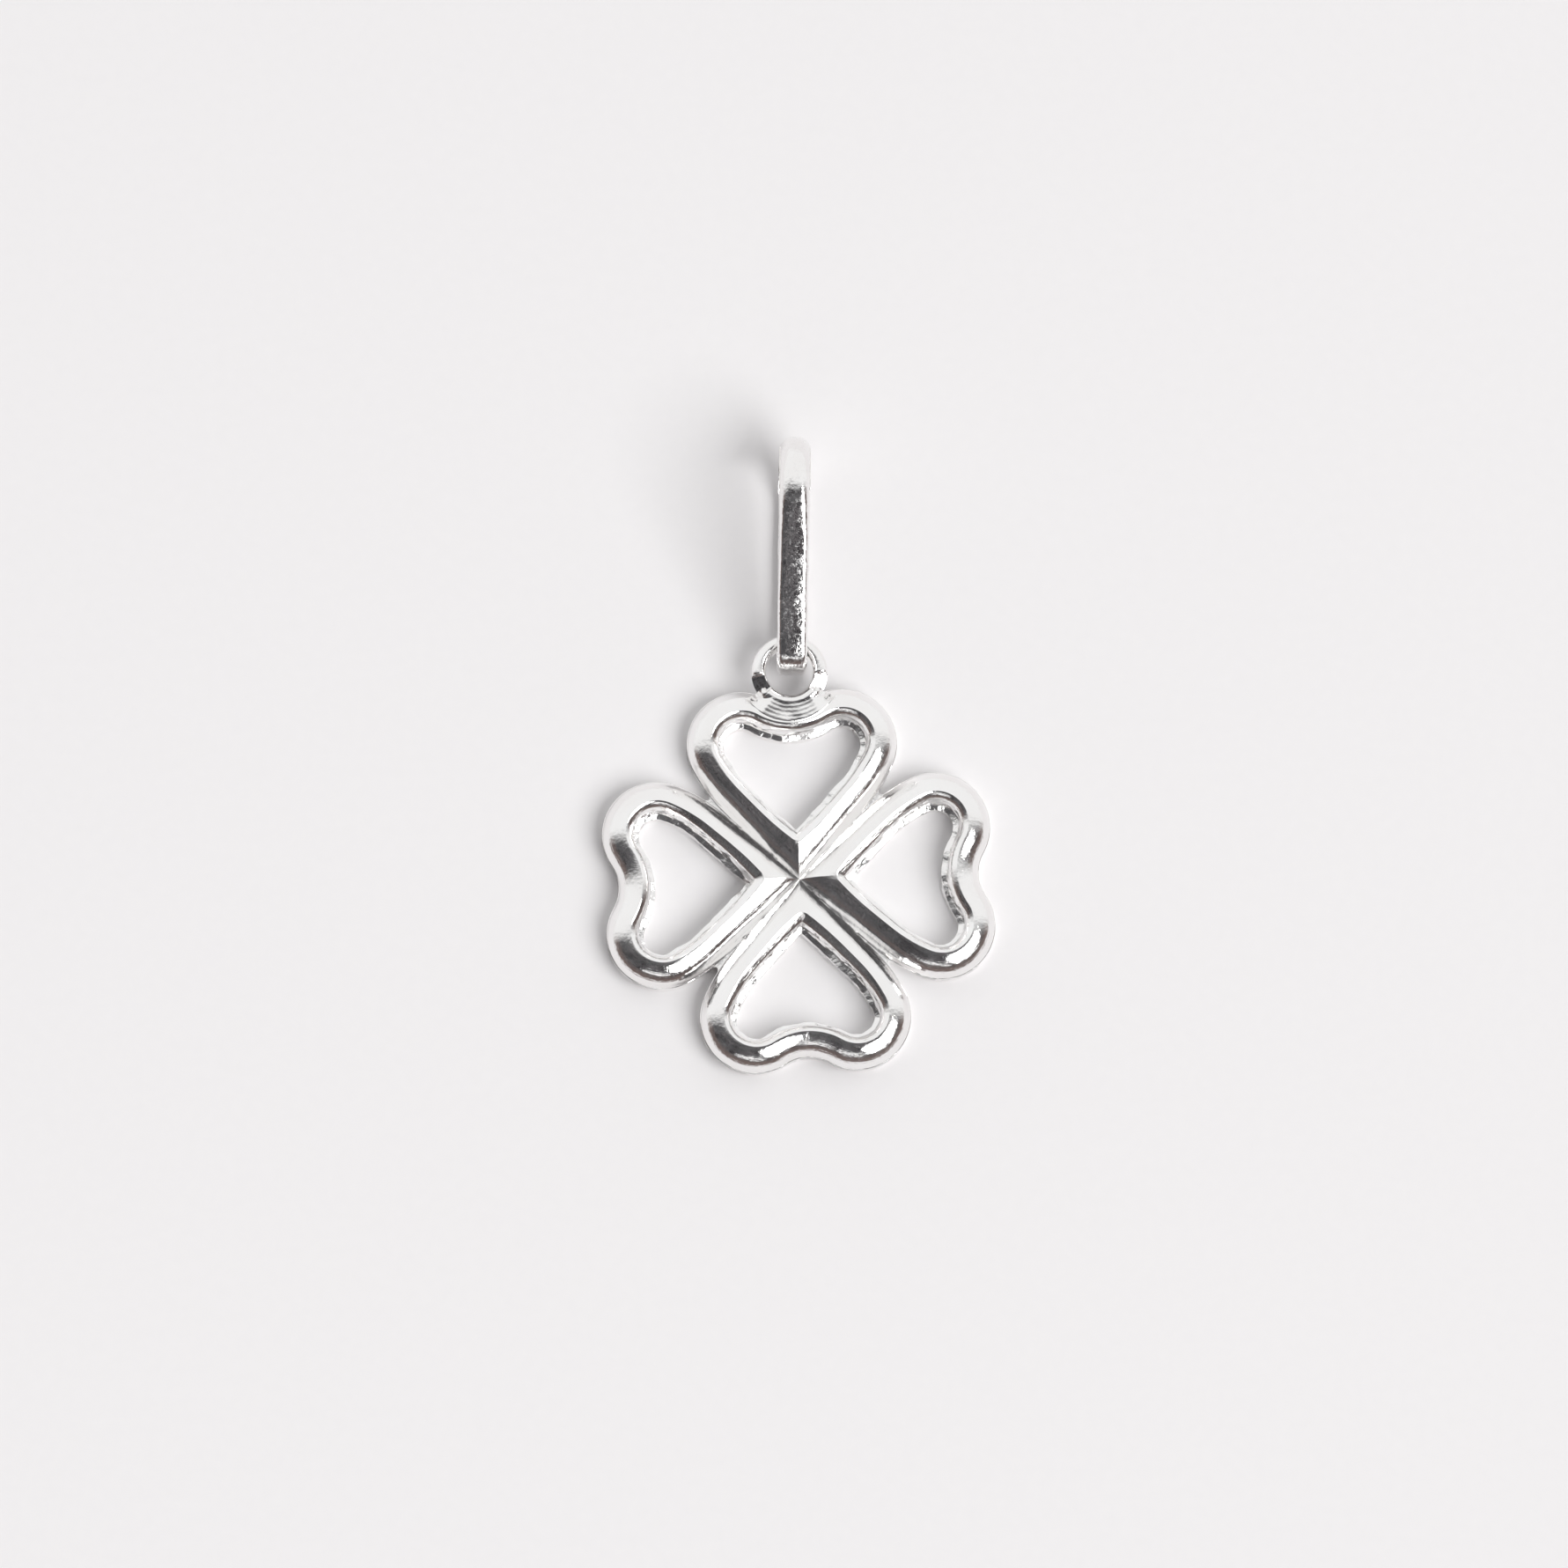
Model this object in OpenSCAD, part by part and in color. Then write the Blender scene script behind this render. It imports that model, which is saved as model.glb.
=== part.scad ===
// Four leaf clover pendant, cast in silver, lying on its flat back.
// The origin is the middle of the clover on its back face, with +Y towards the bail and +Z up.
// All lengths are in millimetres.

/* [Hearts] */
// Distance from the middle of the clover to the top of each heart
heart_reach = 6.24; // [6:0.02:6.6]
// Outer radius of each of a heart's two lobes
lobe_r = 1.77; // [1.69:0.02:1.85]
// Outer radius of the dip between the two lobes
dip_r = 1.33; // [1.1:0.02:1.6]
// Distance from the middle of the clover to where the crests of a heart's limbs would meet
crest_reach = 0.84; // [0.7:0.01:0.96]
// Angle between a heart's axis and its straight limbs
limb_angle = 41.4; // [40.6:0.2:42.6]
// Angle through which the rim turns at each shoulder, between the lobe and the limb
shoulder_turn = 16.4; // [14:0.2:18]
// Distance from the middle of a lobe to the middle of its shoulder's arc
shoulder_reach = 3.84; // [3.4:0.04:4.2]
// Radius of the crest where it turns round the tip of the opening
tip_r = 0.65; // [0.58:0.01:0.75]

/* [Rim] */
// Width of the rim at the back
rim_w = 1.2; // [1.12:0.01:1.24]
// Height of the crest above the back
rim_h = 1.15; // [1.05:0.01:1.25]
// Distance from the outer wall to the crest
crest_in = 0.74; // [0.7:0.01:0.78]
// Width of the bevel that falls outwards from the crest
bevel_w = 0.64; // [0.6:0.01:0.66]
// Height that the bevel falls
bevel_drop = 0.31; // [0.24:0.01:0.38]
// Height of the outer wall below its rounded edge
outer_wall_h = 0.55; // [0.4:0.01:0.6]
// Height of the wall round the opening
inner_wall_h = 0.95; // [0.8:0.01:1.04]
// Distance that the wall round the opening leans back from its foot
inner_draft = 0.18; // [0.1:0.01:0.24]

/* [Webs] */
// Height of the webs between neighbouring hearts
web_h = 0.5; // [0.35:0.01:0.6]
// Distance from the middle of the clover to the end of each web
web_reach = 3.85; // [3.4:0.05:4.1]
// Radius of the hollow end of each web
web_end_r = 0.3; // [0.24:0.01:0.32]

/* [Eye] */
// Diameter of the hole in the eye
eye_hole_d = 1.5; // [1.46:0.02:1.7]
// Diameter of the wire that the eye is made of
eye_wire_d = 0.48; // [0.42:0.01:0.52]
// Depth that the eye is sunk into the dip of the top heart
eye_sink = 0.28; // [0.24:0.01:0.36]

/* [Bail] */
// Length of the bail from end to end
bail_l = 7.6; // [6:0.1:9]
// Height of the bail at its narrow end, which passes through the eye
bail_near_h = 1.84; // [1.8:0.02:1.9]
// Height of the bail at its wide end, where a chain runs
bail_far_h = 3.8; // [3:0.1:4.4]
// Thickness of the bail's wire, from the inside of the loop to the outside
bail_wire_t = 0.58; // [0.5:0.01:0.6]
// Width of the bail's wire across the loop
bail_wire_w = 1; // [0.9:0.01:1.04]
// Radius of the rounded inner and outer faces of the bail's wire
bail_round_r = 0.62; // [0.6:0.01:0.8]
// Angle by which the bail lies turned away from the clover's axis
bail_turn = 3.5; // [0:0.5:4]
// Angle by which the top of the bail leans over to its left
bail_lean = 3; // [0:0.5:4]
// Distance that the bail has slid along the eye's wire
bail_shift = 0.14; // [0:0.01:0.16]
// Play of the bail: how far its narrow end lies past the eye's wire, towards the clover
bail_slack = 0.16; // [0.08:0.01:0.2]

/* [Hidden] */
// Number of hearts round the clover
HEARTS = 4;
// Angle between two neighbouring hearts
heart_step = 360 / HEARTS;
// Angle from a heart's axis to the middle of the web beside it
web_angle = heart_step / 2;
// Spare length by which a cutting shape passes the surface that it cuts
spare = 1;
// Angle by which two arcs about the same middle overlap where they join
overlap_turn = 4;
// Step to which the lobes' distance from the heart's axis is rounded
place_step = 0.01;

// Middle of the right lobe, in the heart's own frame, with +Y along its axis. Its distance from
// the axis is the one that lets the shoulder run smoothly into the straight limb, to 0.01 mm.
lobe_c_y = heart_reach - lobe_r;
lobe_offset = place_step * round(((lobe_c_y - crest_reach) * sin(limb_angle) + crest_in - lobe_r
    - shoulder_reach * (1 - cos(shoulder_turn))) / cos(limb_angle) / place_step);
lobe_c = [lobe_offset, lobe_c_y];
// Angle between the level line through the lobes and the line from a lobe's middle to the dip's
dip_turn = acos(lobe_offset / (lobe_r + dip_r));
// Middle of the dip's arc
dip_c = [0, lobe_c.y + (lobe_r + dip_r) * sin(dip_turn)];
// Angle below the horizontal at which the lobe becomes the shoulder
shoulder_start = limb_angle - shoulder_turn;
// Angle through which the lobe turns, from the shoulder to the dip
lobe_turn = shoulder_start + 180 - dip_turn;
// Middle of the shoulder's arc
shoulder_c = lobe_c - shoulder_reach * [cos(shoulder_start), -sin(shoulder_start)];
// Outer radius of the shoulder
shoulder_r = lobe_r + shoulder_reach;
// Point on the heart's axis where the crests of its two limbs then meet
crest_y = shoulder_c.y
    - (shoulder_r - crest_in + shoulder_c.x * cos(limb_angle)) / sin(limb_angle);
// Middle of the crest's turn round the tip of the opening
tip_c = [0, crest_y + tip_r / sin(limb_angle)];
// Point where the limb's crest begins to turn round the tip
tip_start = tip_c + tip_r * [cos(limb_angle), -sin(limb_angle)];
// Length of the limb from the shoulder to that point
limb_l = (shoulder_c - tip_start) * [sin(limb_angle), cos(limb_angle)];
// Radius round the tip of the opening at the back, and at the top of the inner wall
tip_back_r = tip_r - (rim_w - crest_in);
tip_wall_r = tip_back_r + inner_draft;

// Radius of the eye's wire, and of the circle that its middle follows
eye_wire_r = eye_wire_d / 2;
eye_r = eye_hole_d / 2 + eye_wire_r;
// Place of the eye's middle along the clover's axis
eye_y = dip_c.y - dip_r + eye_r + eye_wire_r - eye_sink;

// Outer radii of the bail's narrow and wide ends
bail_near_r = bail_near_h / 2;
bail_far_r = bail_far_h / 2;
// Distance between the middles of the bail's two ends, seen from above and along the loop
bail_run = bail_l - bail_near_r - bail_far_r;
bail_rise = bail_far_r - bail_near_r;
bail_span = sqrt(bail_run * bail_run + bail_rise * bail_rise);
// Angle by which the bail's sides spread from its middle line
bail_spread = asin(bail_rise / bail_span);
// Height of the eye's middle: the bail goes round its wire and rests on the clover's surface
eye_z = bail_near_r + bail_slack * sin(bail_spread);
// Point that the bail turns about, inside the eye's wire
bail_pivot = [bail_shift, eye_y + eye_r, eye_z];

silver_colour = [0.86, 0.86, 0.87];
bail_colour = [0.8, 0.8, 0.82];

$fn = 96;

// Outer side of the rim's section, from under its crest to its outer wall at x = 0
module rim_outer_section() {
    polygon([
        [-crest_in, 0],
        [-crest_in, rim_h],
        [bevel_w - crest_in, rim_h - bevel_drop],
        [0, outer_wall_h],
        [0, 0],
    ]);
}

// Whole section of the rim, with its outer wall at x = 0
module rim_section() {
    polygon([
        [-rim_w, 0],
        [inner_draft - rim_w, inner_wall_h],
        [-crest_in, rim_h],
        [bevel_w - crest_in, rim_h - bevel_drop],
        [0, outer_wall_h],
        [0, 0],
    ]);
}

// Rim swept round the origin from the X axis, with its outer wall at radius r
module rim_arc(r, turn) {
    rotate_extrude(angle = turn) translate([r, 0]) rim_section();
}

// Rim swept the other way round the origin, with its outer wall inside at radius r
module hollow_arc(r, turn) {
    rotate_extrude(angle = turn) translate([r, 0]) mirror([1, 0]) rim_section();
}

// Half of the lobe next to the dip, and the dip as far as the heart's axis
module lobe_to_dip() {
    translate(lobe_c) rotate(180 - dip_turn) {
        rim_arc(lobe_r, -lobe_turn / 2 - overlap_turn);
        translate([lobe_r + dip_r, 0]) rotate(180) hollow_arc(dip_r, dip_turn - 90 - overlap_turn);
    }
}

// Places what follows at the shoulder's middle, with X towards the lobe
module at_shoulder() {
    translate(lobe_c) rotate(-shoulder_start) translate([-shoulder_reach, 0]) children();
}

// Half of the lobe next to the shoulder, and half of the shoulder
module lobe_to_shoulder() {
    translate(lobe_c) rotate(-shoulder_start) rim_arc(lobe_r, lobe_turn / 2 + overlap_turn);
    at_shoulder() rim_arc(shoulder_r, -shoulder_turn / 2 - overlap_turn);
}

// Half of the shoulder, and the straight limb to the tip of the heart
module shoulder_to_tip() {
    at_shoulder() rotate(-shoulder_turn) {
        rim_arc(shoulder_r, shoulder_turn / 2 + overlap_turn);
        translate([shoulder_r, 0]) rotate([90, 0, 0]) {
            linear_extrude(limb_l) rim_section();
            linear_extrude(limb_l + heart_reach) rim_outer_section();
        }
        translate([shoulder_r - crest_in - tip_r, -limb_l]) tip();
    }
}

// Metal that rounds the tip of the opening, from the end of the limb to the heart's axis
module tip() {
    difference() {
        linear_extrude(rim_h) polygon([[0, 0], [tip_r, 0], [tip_r, -tip_r / tan(limb_angle)]]);
        rotate_extrude() polygon([
            [0, -spare],
            [tip_back_r, -spare],
            [tip_back_r, 0],
            [tip_wall_r, inner_wall_h],
            [tip_r, rim_h],
            [tip_r, rim_h + spare],
            [0, rim_h + spare],
        ]);
    }
}

// Web between two hearts, with its hollow end
module web() {
    rotate(-web_angle) difference() {
        translate([-web_end_r, 0]) cube([2 * web_end_r, web_reach + web_end_r, web_h]);
        translate([0, web_reach + web_end_r, -spare])
            cylinder(r = web_end_r, h = web_h + 2 * spare);
    }
}

// Space between a heart's axis and the middle of the web on its right
module half_heart_space() {
    far = 2 * heart_reach;
    translate([0, 0, -spare]) linear_extrude(rim_h + 2 * spare)
        polygon([[0, 0], [0, far], far * [sin(web_angle), cos(web_angle)]]);
}

// Right half of a heart, ending at its axis and at the middle of the web
module half_heart() {
    intersection() {
        union() {
            lobe_to_dip();
            lobe_to_shoulder();
            shoulder_to_tip();
            web();
        }
        half_heart_space();
    }
}

// Ring of wire soldered into the dip of the top heart
module eye() {
    translate([0, eye_y, eye_z]) rotate_extrude() translate([eye_r, 0]) circle(r = eye_wire_r);
}

// Four hearts joined tip to tip, with the eye
module clover() {
    color(silver_colour) {
        for (k = [0 : HEARTS - 1]) rotate(k * heart_step) {
            half_heart();
            mirror([1, 0]) half_heart();
        }
        eye();
    }
}

// Section of the bail's wire, with the outside of the loop at x = 0
module bail_section() {
    translate([-bail_wire_t / 2, 0]) intersection() {
        translate([bail_wire_t / 2 - bail_round_r, 0]) circle(r = bail_round_r);
        translate([bail_round_r - bail_wire_t / 2, 0]) circle(r = bail_round_r);
        square([2 * bail_wire_t, bail_wire_w], center = true);
    }
}

// Half of the bail flat in its own plane, with the middle of its narrow end's arc at the origin
module half_bail() {
    intersection() {
        rotate(90 + bail_spread) {
            rotate_extrude(angle = 90 - bail_spread + overlap_turn)
                translate([bail_near_r, 0]) bail_section();
            translate([bail_near_r, 0]) rotate([90, 0, 0]) linear_extrude(bail_run) bail_section();
            translate([-bail_rise, -bail_run])
                rotate_extrude(angle = -90 - bail_spread - overlap_turn)
                    translate([bail_far_r, 0]) bail_section();
        }
        translate([-bail_l, 0, -bail_wire_w]) cube([3 * bail_l, bail_l, 2 * bail_wire_w]);
    }
}

// Drop-shaped loop of wire through the eye, standing on its lower side
module bail() {
    color(bail_colour) translate(bail_pivot) rotate([0, -bail_lean, -bail_turn])
        rotate([90, 0, 90]) rotate(bail_spread) translate([-bail_slack, 0]) {
            half_bail();
            mirror([0, 1]) half_bail();
        }
}

clover();
bail();
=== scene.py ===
"""Four leaf clover pendant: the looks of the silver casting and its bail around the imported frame."""

import logging
import math
from collections.abc import Sequence
from dataclasses import dataclass
from enum import Enum

import bmesh
import bpy
from mathutils import Matrix, Vector, noise


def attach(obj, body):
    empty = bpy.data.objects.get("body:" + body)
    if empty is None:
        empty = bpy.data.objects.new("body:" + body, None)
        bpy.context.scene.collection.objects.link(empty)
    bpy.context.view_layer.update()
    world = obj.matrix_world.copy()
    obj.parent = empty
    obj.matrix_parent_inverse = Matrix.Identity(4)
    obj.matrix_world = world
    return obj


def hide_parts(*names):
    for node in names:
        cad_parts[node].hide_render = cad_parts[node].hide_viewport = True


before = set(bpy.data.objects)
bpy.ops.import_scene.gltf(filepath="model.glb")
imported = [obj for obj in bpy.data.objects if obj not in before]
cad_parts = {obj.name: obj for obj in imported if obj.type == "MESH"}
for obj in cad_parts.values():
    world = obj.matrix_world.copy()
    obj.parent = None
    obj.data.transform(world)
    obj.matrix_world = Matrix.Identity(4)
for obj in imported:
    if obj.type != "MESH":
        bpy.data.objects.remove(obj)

logging.basicConfig(level=logging.INFO, format="%(message)s")
log = logging.getLogger("clover")

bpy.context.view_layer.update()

# The pendant and its view are given in millimetres, the studio, the materials and the view's clipping in
# metres, and all angles in degrees.
MM = 0.001
UP = Vector((0.0, 0.0, 1.0))

# A curve is a row of places in rising order, each with its value.
Curve = Sequence[tuple[float, float]]
Colour = tuple[float, float, float]
Socket = bpy.types.NodeSocket


class Zone(Enum):
    """Part of the casting's surface, by how it was finished."""

    CAST = 1.0
    POLISHED = 0.0


@dataclass(frozen=True)
class SectionPoint:
    """One point of the rim's section."""

    inward: float
    height: float
    zone: Zone


def smooth_step(value: float, low: float, high: float) -> float:
    """Eases from 0 to 1 between two values.

    Args:
        value: The value to place between the two.
        low: The value at which the result leaves 0.
        high: The value at which the result reaches 1.

    Returns:
        A number from 0 to 1.
    """
    t = min(1.0, max(0.0, (value - low) / (high - low)))
    return t * t * (3.0 - 2.0 * t)


def polar(radius: float, degrees: float) -> Vector:
    """Gives a plane vector of a length and a direction.

    Args:
        radius: Length of the vector.
        degrees: Direction, counter-clockwise from +X.

    Returns:
        The vector.
    """
    return Vector((radius * math.cos(math.radians(degrees)), radius * math.sin(math.radians(degrees))))


def join_rings(mesh: bmesh.types.BMesh, rings: list[list[bmesh.types.BMVert]], closed: bool) -> None:
    """Joins rings of corners into a skin of four-sided faces.

    Args:
        mesh: The mesh that holds the corners.
        rings: Closed rings, each with the same number of corners.
        closed: Whether the last ring is joined to the first.
    """
    following = rings[1:] + rings[:1] if closed else rings[1:]
    for ring, after in zip(rings, following):
        for k, corner in enumerate(ring):
            beside = (k + 1) % len(ring)
            mesh.faces.new((corner, after[k], after[beside], ring[beside]))


def new_piece(
    name: str, mesh: bmesh.types.BMesh, sharp_degrees: float, material: bpy.types.Material
) -> bpy.types.Object:
    """Makes a smooth-shaded object of a mesh built in millimetres.

    Args:
        name: Name of the object.
        mesh: The mesh, which is freed.
        sharp_degrees: Angle between two faces above which their edge looks sharp.
        material: The object's material.

    Returns:
        The new object, in metres.
    """
    bmesh.ops.recalc_face_normals(mesh, faces=mesh.faces)
    bmesh.ops.scale(mesh, vec=(MM, MM, MM), verts=mesh.verts)
    data = bpy.data.meshes.new(name)
    mesh.to_mesh(data)
    mesh.free()
    data.shade_smooth()
    data.set_sharp_from_angle(angle=math.radians(sharp_degrees))
    data.materials.append(material)
    piece = bpy.data.objects.new(name, data)
    bpy.context.scene.collection.objects.link(piece)
    return piece


def along_curve(curve: Curve, place: float) -> float:
    """Reads a value from a curve of straight pieces.

    Args:
        curve: The curve.
        place: The place to read.

    Returns:
        The value there.
    """
    for (low, first), (high, last) in zip(curve, curve[1:]):
        if place <= high:
            return first + (last - first) * (place - low) / (high - low)
    return curve[-1][1]


def blend_curves(flat: Curve, full: Curve, share: float, width: float) -> Curve:
    """Blends two curves of the same number of points, stretched to a width.

    Args:
        flat: Curve at share 0, with places from 0 to 1.
        full: Curve at share 1, with places from 0 to 1.
        share: How much of the full curve is used.
        width: Width to which the places are stretched.

    Returns:
        The blended curve.
    """
    return [
        (width * (p + (q - p) * share), value + (other - value) * share)
        for (p, value), (q, other) in zip(flat, full)
    ]


@dataclass
class NodeTable:
    """Node tree of a material or of the sky, with short ways to add to it."""

    tree: bpy.types.NodeTree

    def add(self, kind: str, values: dict[str, float | tuple] | None = None) -> bpy.types.Node:
        """Adds a node.

        Args:
            kind: The node's type.
            values: Constants of its inputs, by their names.

        Returns:
            The node.
        """
        node = self.tree.nodes.new(kind)
        for name, value in (values or {}).items():
            node.inputs[name].default_value = value
        return node

    def link(self, start: Socket, end: Socket) -> None:
        """Joins an output to an input."""
        self.tree.links.new(start, end)

    def attribute(self, name: str) -> bpy.types.Node:
        """Reads one of the mesh's layers, which is 0 on the pieces that don't have it.

        Args:
            name: The layer's name.

        Returns:
            The attribute node.
        """
        node = self.add("ShaderNodeAttribute")
        node.attribute_name = name
        return node

    def noise(self, place: Socket, scale: float, detail: float) -> Socket:
        """Adds a noise texture.

        Args:
            place: Where the noise is read.
            scale: Waves a metre.
            detail: Number of finer layers.

        Returns:
            The noise's value.
        """
        node = self.add("ShaderNodeTexNoise", {"Scale": scale, "Detail": detail})
        self.link(place, node.inputs["Vector"])
        return node.outputs["Fac"]

    def streaks(
        self, place: Socket, scale: tuple[float, float, float], turn: float, detail: float
    ) -> Socket:
        """Adds a noise texture that is drawn out in one direction.

        Args:
            place: Where the noise is read.
            scale: Waves a unit of length along each axis.
            turn: Turn of the axes about Z.
            detail: Number of finer layers.

        Returns:
            The noise's value.
        """
        node = self.add("ShaderNodeMapping", {"Scale": scale, "Rotation": (0.0, 0.0, math.radians(turn))})
        self.link(place, node.inputs["Vector"])
        return self.noise(node.outputs["Vector"], 1.0, detail)

    def spread(self, value: Socket, span: tuple[float, float], low: float, high: float) -> bpy.types.Node:
        """Stretches a value over a new range.

        Args:
            value: The value.
            span: What the value is at the two ends.
            low: The result at the first end.
            high: The result at the second end.

        Returns:
            The map range node.
        """
        ends = {"From Min": span[0], "From Max": span[1], "To Min": low, "To Max": high}
        node = self.add("ShaderNodeMapRange", ends)
        self.link(value, node.inputs["Value"])
        return node

    def combine(self, operation: str, one: Socket, other: Socket) -> Socket:
        """Combines two values into one.

        Args:
            operation: The math node's operation.
            one: The first value.
            other: The second value.

        Returns:
            The result.
        """
        node = self.add("ShaderNodeMath")
        node.operation = operation
        self.link(one, node.inputs[0])
        self.link(other, node.inputs[1])
        return node.outputs["Value"]

    def tint(self, value: Socket, stops: Sequence[tuple[float, Colour]]) -> Socket:
        """Turns a value into a colour.

        Args:
            value: The value.
            stops: Values in rising order, each with its colour.

        Returns:
            The colour.
        """
        node = self.add("ShaderNodeValToRGB")
        ramp = node.color_ramp.elements
        for position, _ in stops[len(ramp):]:
            ramp.new(position)
        for element, (position, colour) in zip(ramp, stops):
            element.position = position
            element.color = (*colour, 1.0)
        self.link(value, node.inputs["Fac"])
        return node.outputs["Color"]

    def mix(self, share: Socket, base: Socket, other: Colour) -> Socket:
        """Mixes a plain colour into another one.

        Args:
            share: How much of the plain colour is used.
            base: The colour that it is mixed into.
            other: The plain colour.

        Returns:
            The mixed colour.
        """
        node = self.add("ShaderNodeMixRGB", {"Color2": (*other, 1.0)})
        self.link(share, node.inputs["Fac"])
        self.link(base, node.inputs["Color1"])
        return node.outputs["Color"]

    def bump(self, height: Socket, strength: float, distance: float, under: Socket | None) -> Socket:
        """Adds a relief over another one.

        Args:
            height: The relief's height.
            strength: How much of the relief is used.
            distance: The relief's depth.
            under: Normal from the relief below, if there is one.

        Returns:
            The new normal.
        """
        node = self.add("ShaderNodeBump", {"Strength": strength, "Distance": distance})
        self.link(height, node.inputs["Height"])
        if under is not None:
            self.link(under, node.inputs["Normal"])
        return node.outputs["Normal"]


@dataclass(frozen=True)
class SilverFinish:
    """Polished sterling silver, with the cast skin that polishing can't reach.

    Each noise is given by its waves a metre and its number of finer layers. Those of the scratches and of
    the brushed lines have waves along each axis, and the brushed lines count them in millimetres.
    """

    name: str
    colour: Colour = (0.955, 0.95, 0.945)
    dull_share: Colour = (0.965, 0.955, 0.95)
    dull_span: tuple[float, float] = (0.3, 0.7)
    polish: float = 0.06
    worn_polish: float = 0.144
    worn_span: tuple[float, float] = (0.35, 0.75)
    speckle: float = 0.06
    speckle_span: tuple[float, float] = (0.48, 0.66)
    cast_roughness: float = 0.16
    blotch: tuple[float, float] = (900.0, 3.0)
    grain: tuple[float, float] = (9000.0, 6.0)
    cast_relief: float = 0.3
    cast_depth: float = 0.00004
    wave: tuple[float, float] = (1500.0, 2.0)
    wave_relief: float = 0.25
    wave_depth: float = 0.00002
    dapple: tuple[float, float] = (9000.0, 3.0)
    dapple_relief: float = 0.75
    dapple_depth: float = 0.000008
    scratch_scale: tuple[float, float, float] = (24000.0, 3000.0, 3000.0)
    scratch_turn: float = 38.0
    scratch_detail: float = 4.0
    scratch_relief: float = 0.25
    scratch_depth: float = 0.000004
    brush_scale: tuple[float, float, float] = (26.0, 0.7, 1.0)
    brush_detail: float = 3.0
    brush_relief: float = 0.5
    brush_depth: float = 0.000008

    def material(self) -> bpy.types.Material:
        """Builds the node material.

        Returns:
            The material.
        """
        material = bpy.data.materials.new(self.name)
        material.use_nodes = True
        table = NodeTable(material.node_tree)
        shader = material.node_tree.nodes["Principled BSDF"]
        shader.inputs["Metallic"].default_value = 1.0
        place = table.add("ShaderNodeTexCoord").outputs["Object"]
        cast = table.attribute("cast").outputs["Fac"]
        blotch = table.noise(place, *self.blotch)
        grain = table.noise(place, *self.grain)
        dull = tuple(part * share for part, share in zip(self.colour, self.dull_share))
        colour = table.tint(blotch, list(zip(self.dull_span, (dull, self.colour))))
        table.link(colour, shader.inputs["Base Color"])
        table.link(self._roughness(table, cast, blotch, grain), shader.inputs["Roughness"])
        table.link(self._relief(table, place, cast, grain), shader.inputs["Normal"])
        return material

    def _roughness(self, table: NodeTable, cast: Socket, blotch: Socket, grain: Socket) -> Socket:
        """Finds how rough the surface is.

        Args:
            table: The material's nodes.
            cast: 1 on the cast skin, 0 where it is polished.
            blotch: The noise of worn spots.
            grain: The noise of specks.

        Returns:
            The roughness.
        """
        worn = table.spread(blotch, self.worn_span, self.polish, self.worn_polish).outputs["Result"]
        specks = table.spread(grain, self.speckle_span, 0.0, self.speckle).outputs["Result"]
        by_zone = table.add("ShaderNodeMix", {"B": self.cast_roughness})
        table.link(cast, by_zone.inputs["Factor"])
        table.link(table.combine("ADD", worn, specks), by_zone.inputs["A"])
        return by_zone.outputs["Result"]

    def _relief(self, table: NodeTable, place: Socket, cast: Socket, grain: Socket) -> Socket:
        """Piles up the finish's reliefs, from slow waves to the grain of the cast skin.

        Args:
            table: The material's nodes.
            place: Place on the piece.
            cast: 1 on the cast skin, 0 where it is polished.
            grain: The noise of the cast skin.

        Returns:
            The normal of the uneven surface.
        """
        scratch = table.streaks(place, self.scratch_scale, self.scratch_turn, self.scratch_detail)
        on_rim = table.attribute("brush").outputs["Vector"]
        brush = table.streaks(on_rim, self.brush_scale, 0.0, self.brush_detail)
        reliefs = (
            (table.noise(place, *self.wave), self.wave_relief, self.wave_depth),
            (table.noise(place, *self.dapple), self.dapple_relief, self.dapple_depth),
            (scratch, self.scratch_relief, self.scratch_depth),
            (brush, self.brush_relief, self.brush_depth),
            (table.combine("MULTIPLY", grain, cast), self.cast_relief, self.cast_depth),
        )
        normal = None
        for height, strength, depth in reliefs:
            normal = table.bump(height, strength, depth, normal)
        return normal


@dataclass(frozen=True)
class PaperFinish:
    """Matt off-white card under the pendant."""

    name: str = "pale_card"
    colour: Colour = (0.872, 0.858, 0.862)
    fibre_share: float = 0.975
    fibre: tuple[float, float] = (2500.0, 5.0)
    roughness: float = 0.9
    sheen: float = 0.1

    def material(self) -> bpy.types.Material:
        """Builds the node material.

        Returns:
            The material.
        """
        material = bpy.data.materials.new(self.name)
        material.use_nodes = True
        table = NodeTable(material.node_tree)
        shader = material.node_tree.nodes["Principled BSDF"]
        shader.inputs["Roughness"].default_value = self.roughness
        shader.inputs["Specular IOR Level"].default_value = self.sheen
        fibre = table.noise(table.add("ShaderNodeTexCoord").outputs["Object"], *self.fibre)
        shaded = tuple(part * self.fibre_share for part in self.colour)
        table.link(table.tint(fibre, ((0.0, shaded), (1.0, self.colour))), shader.inputs["Base Color"])
        return material


@dataclass(frozen=True)
class RimRow:
    """Row of the rim's surface, square to its outer wall."""

    foot: Vector
    inwards: Vector
    roundness: float
    tipness: float

    def point(self, inward: float) -> Vector:
        """Places a point of the row.

        Args:
            inward: Distance inwards from the outer wall, negative beyond it.

        Returns:
            The point in the plane.
        """
        return self.foot + self.inwards * inward


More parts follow.
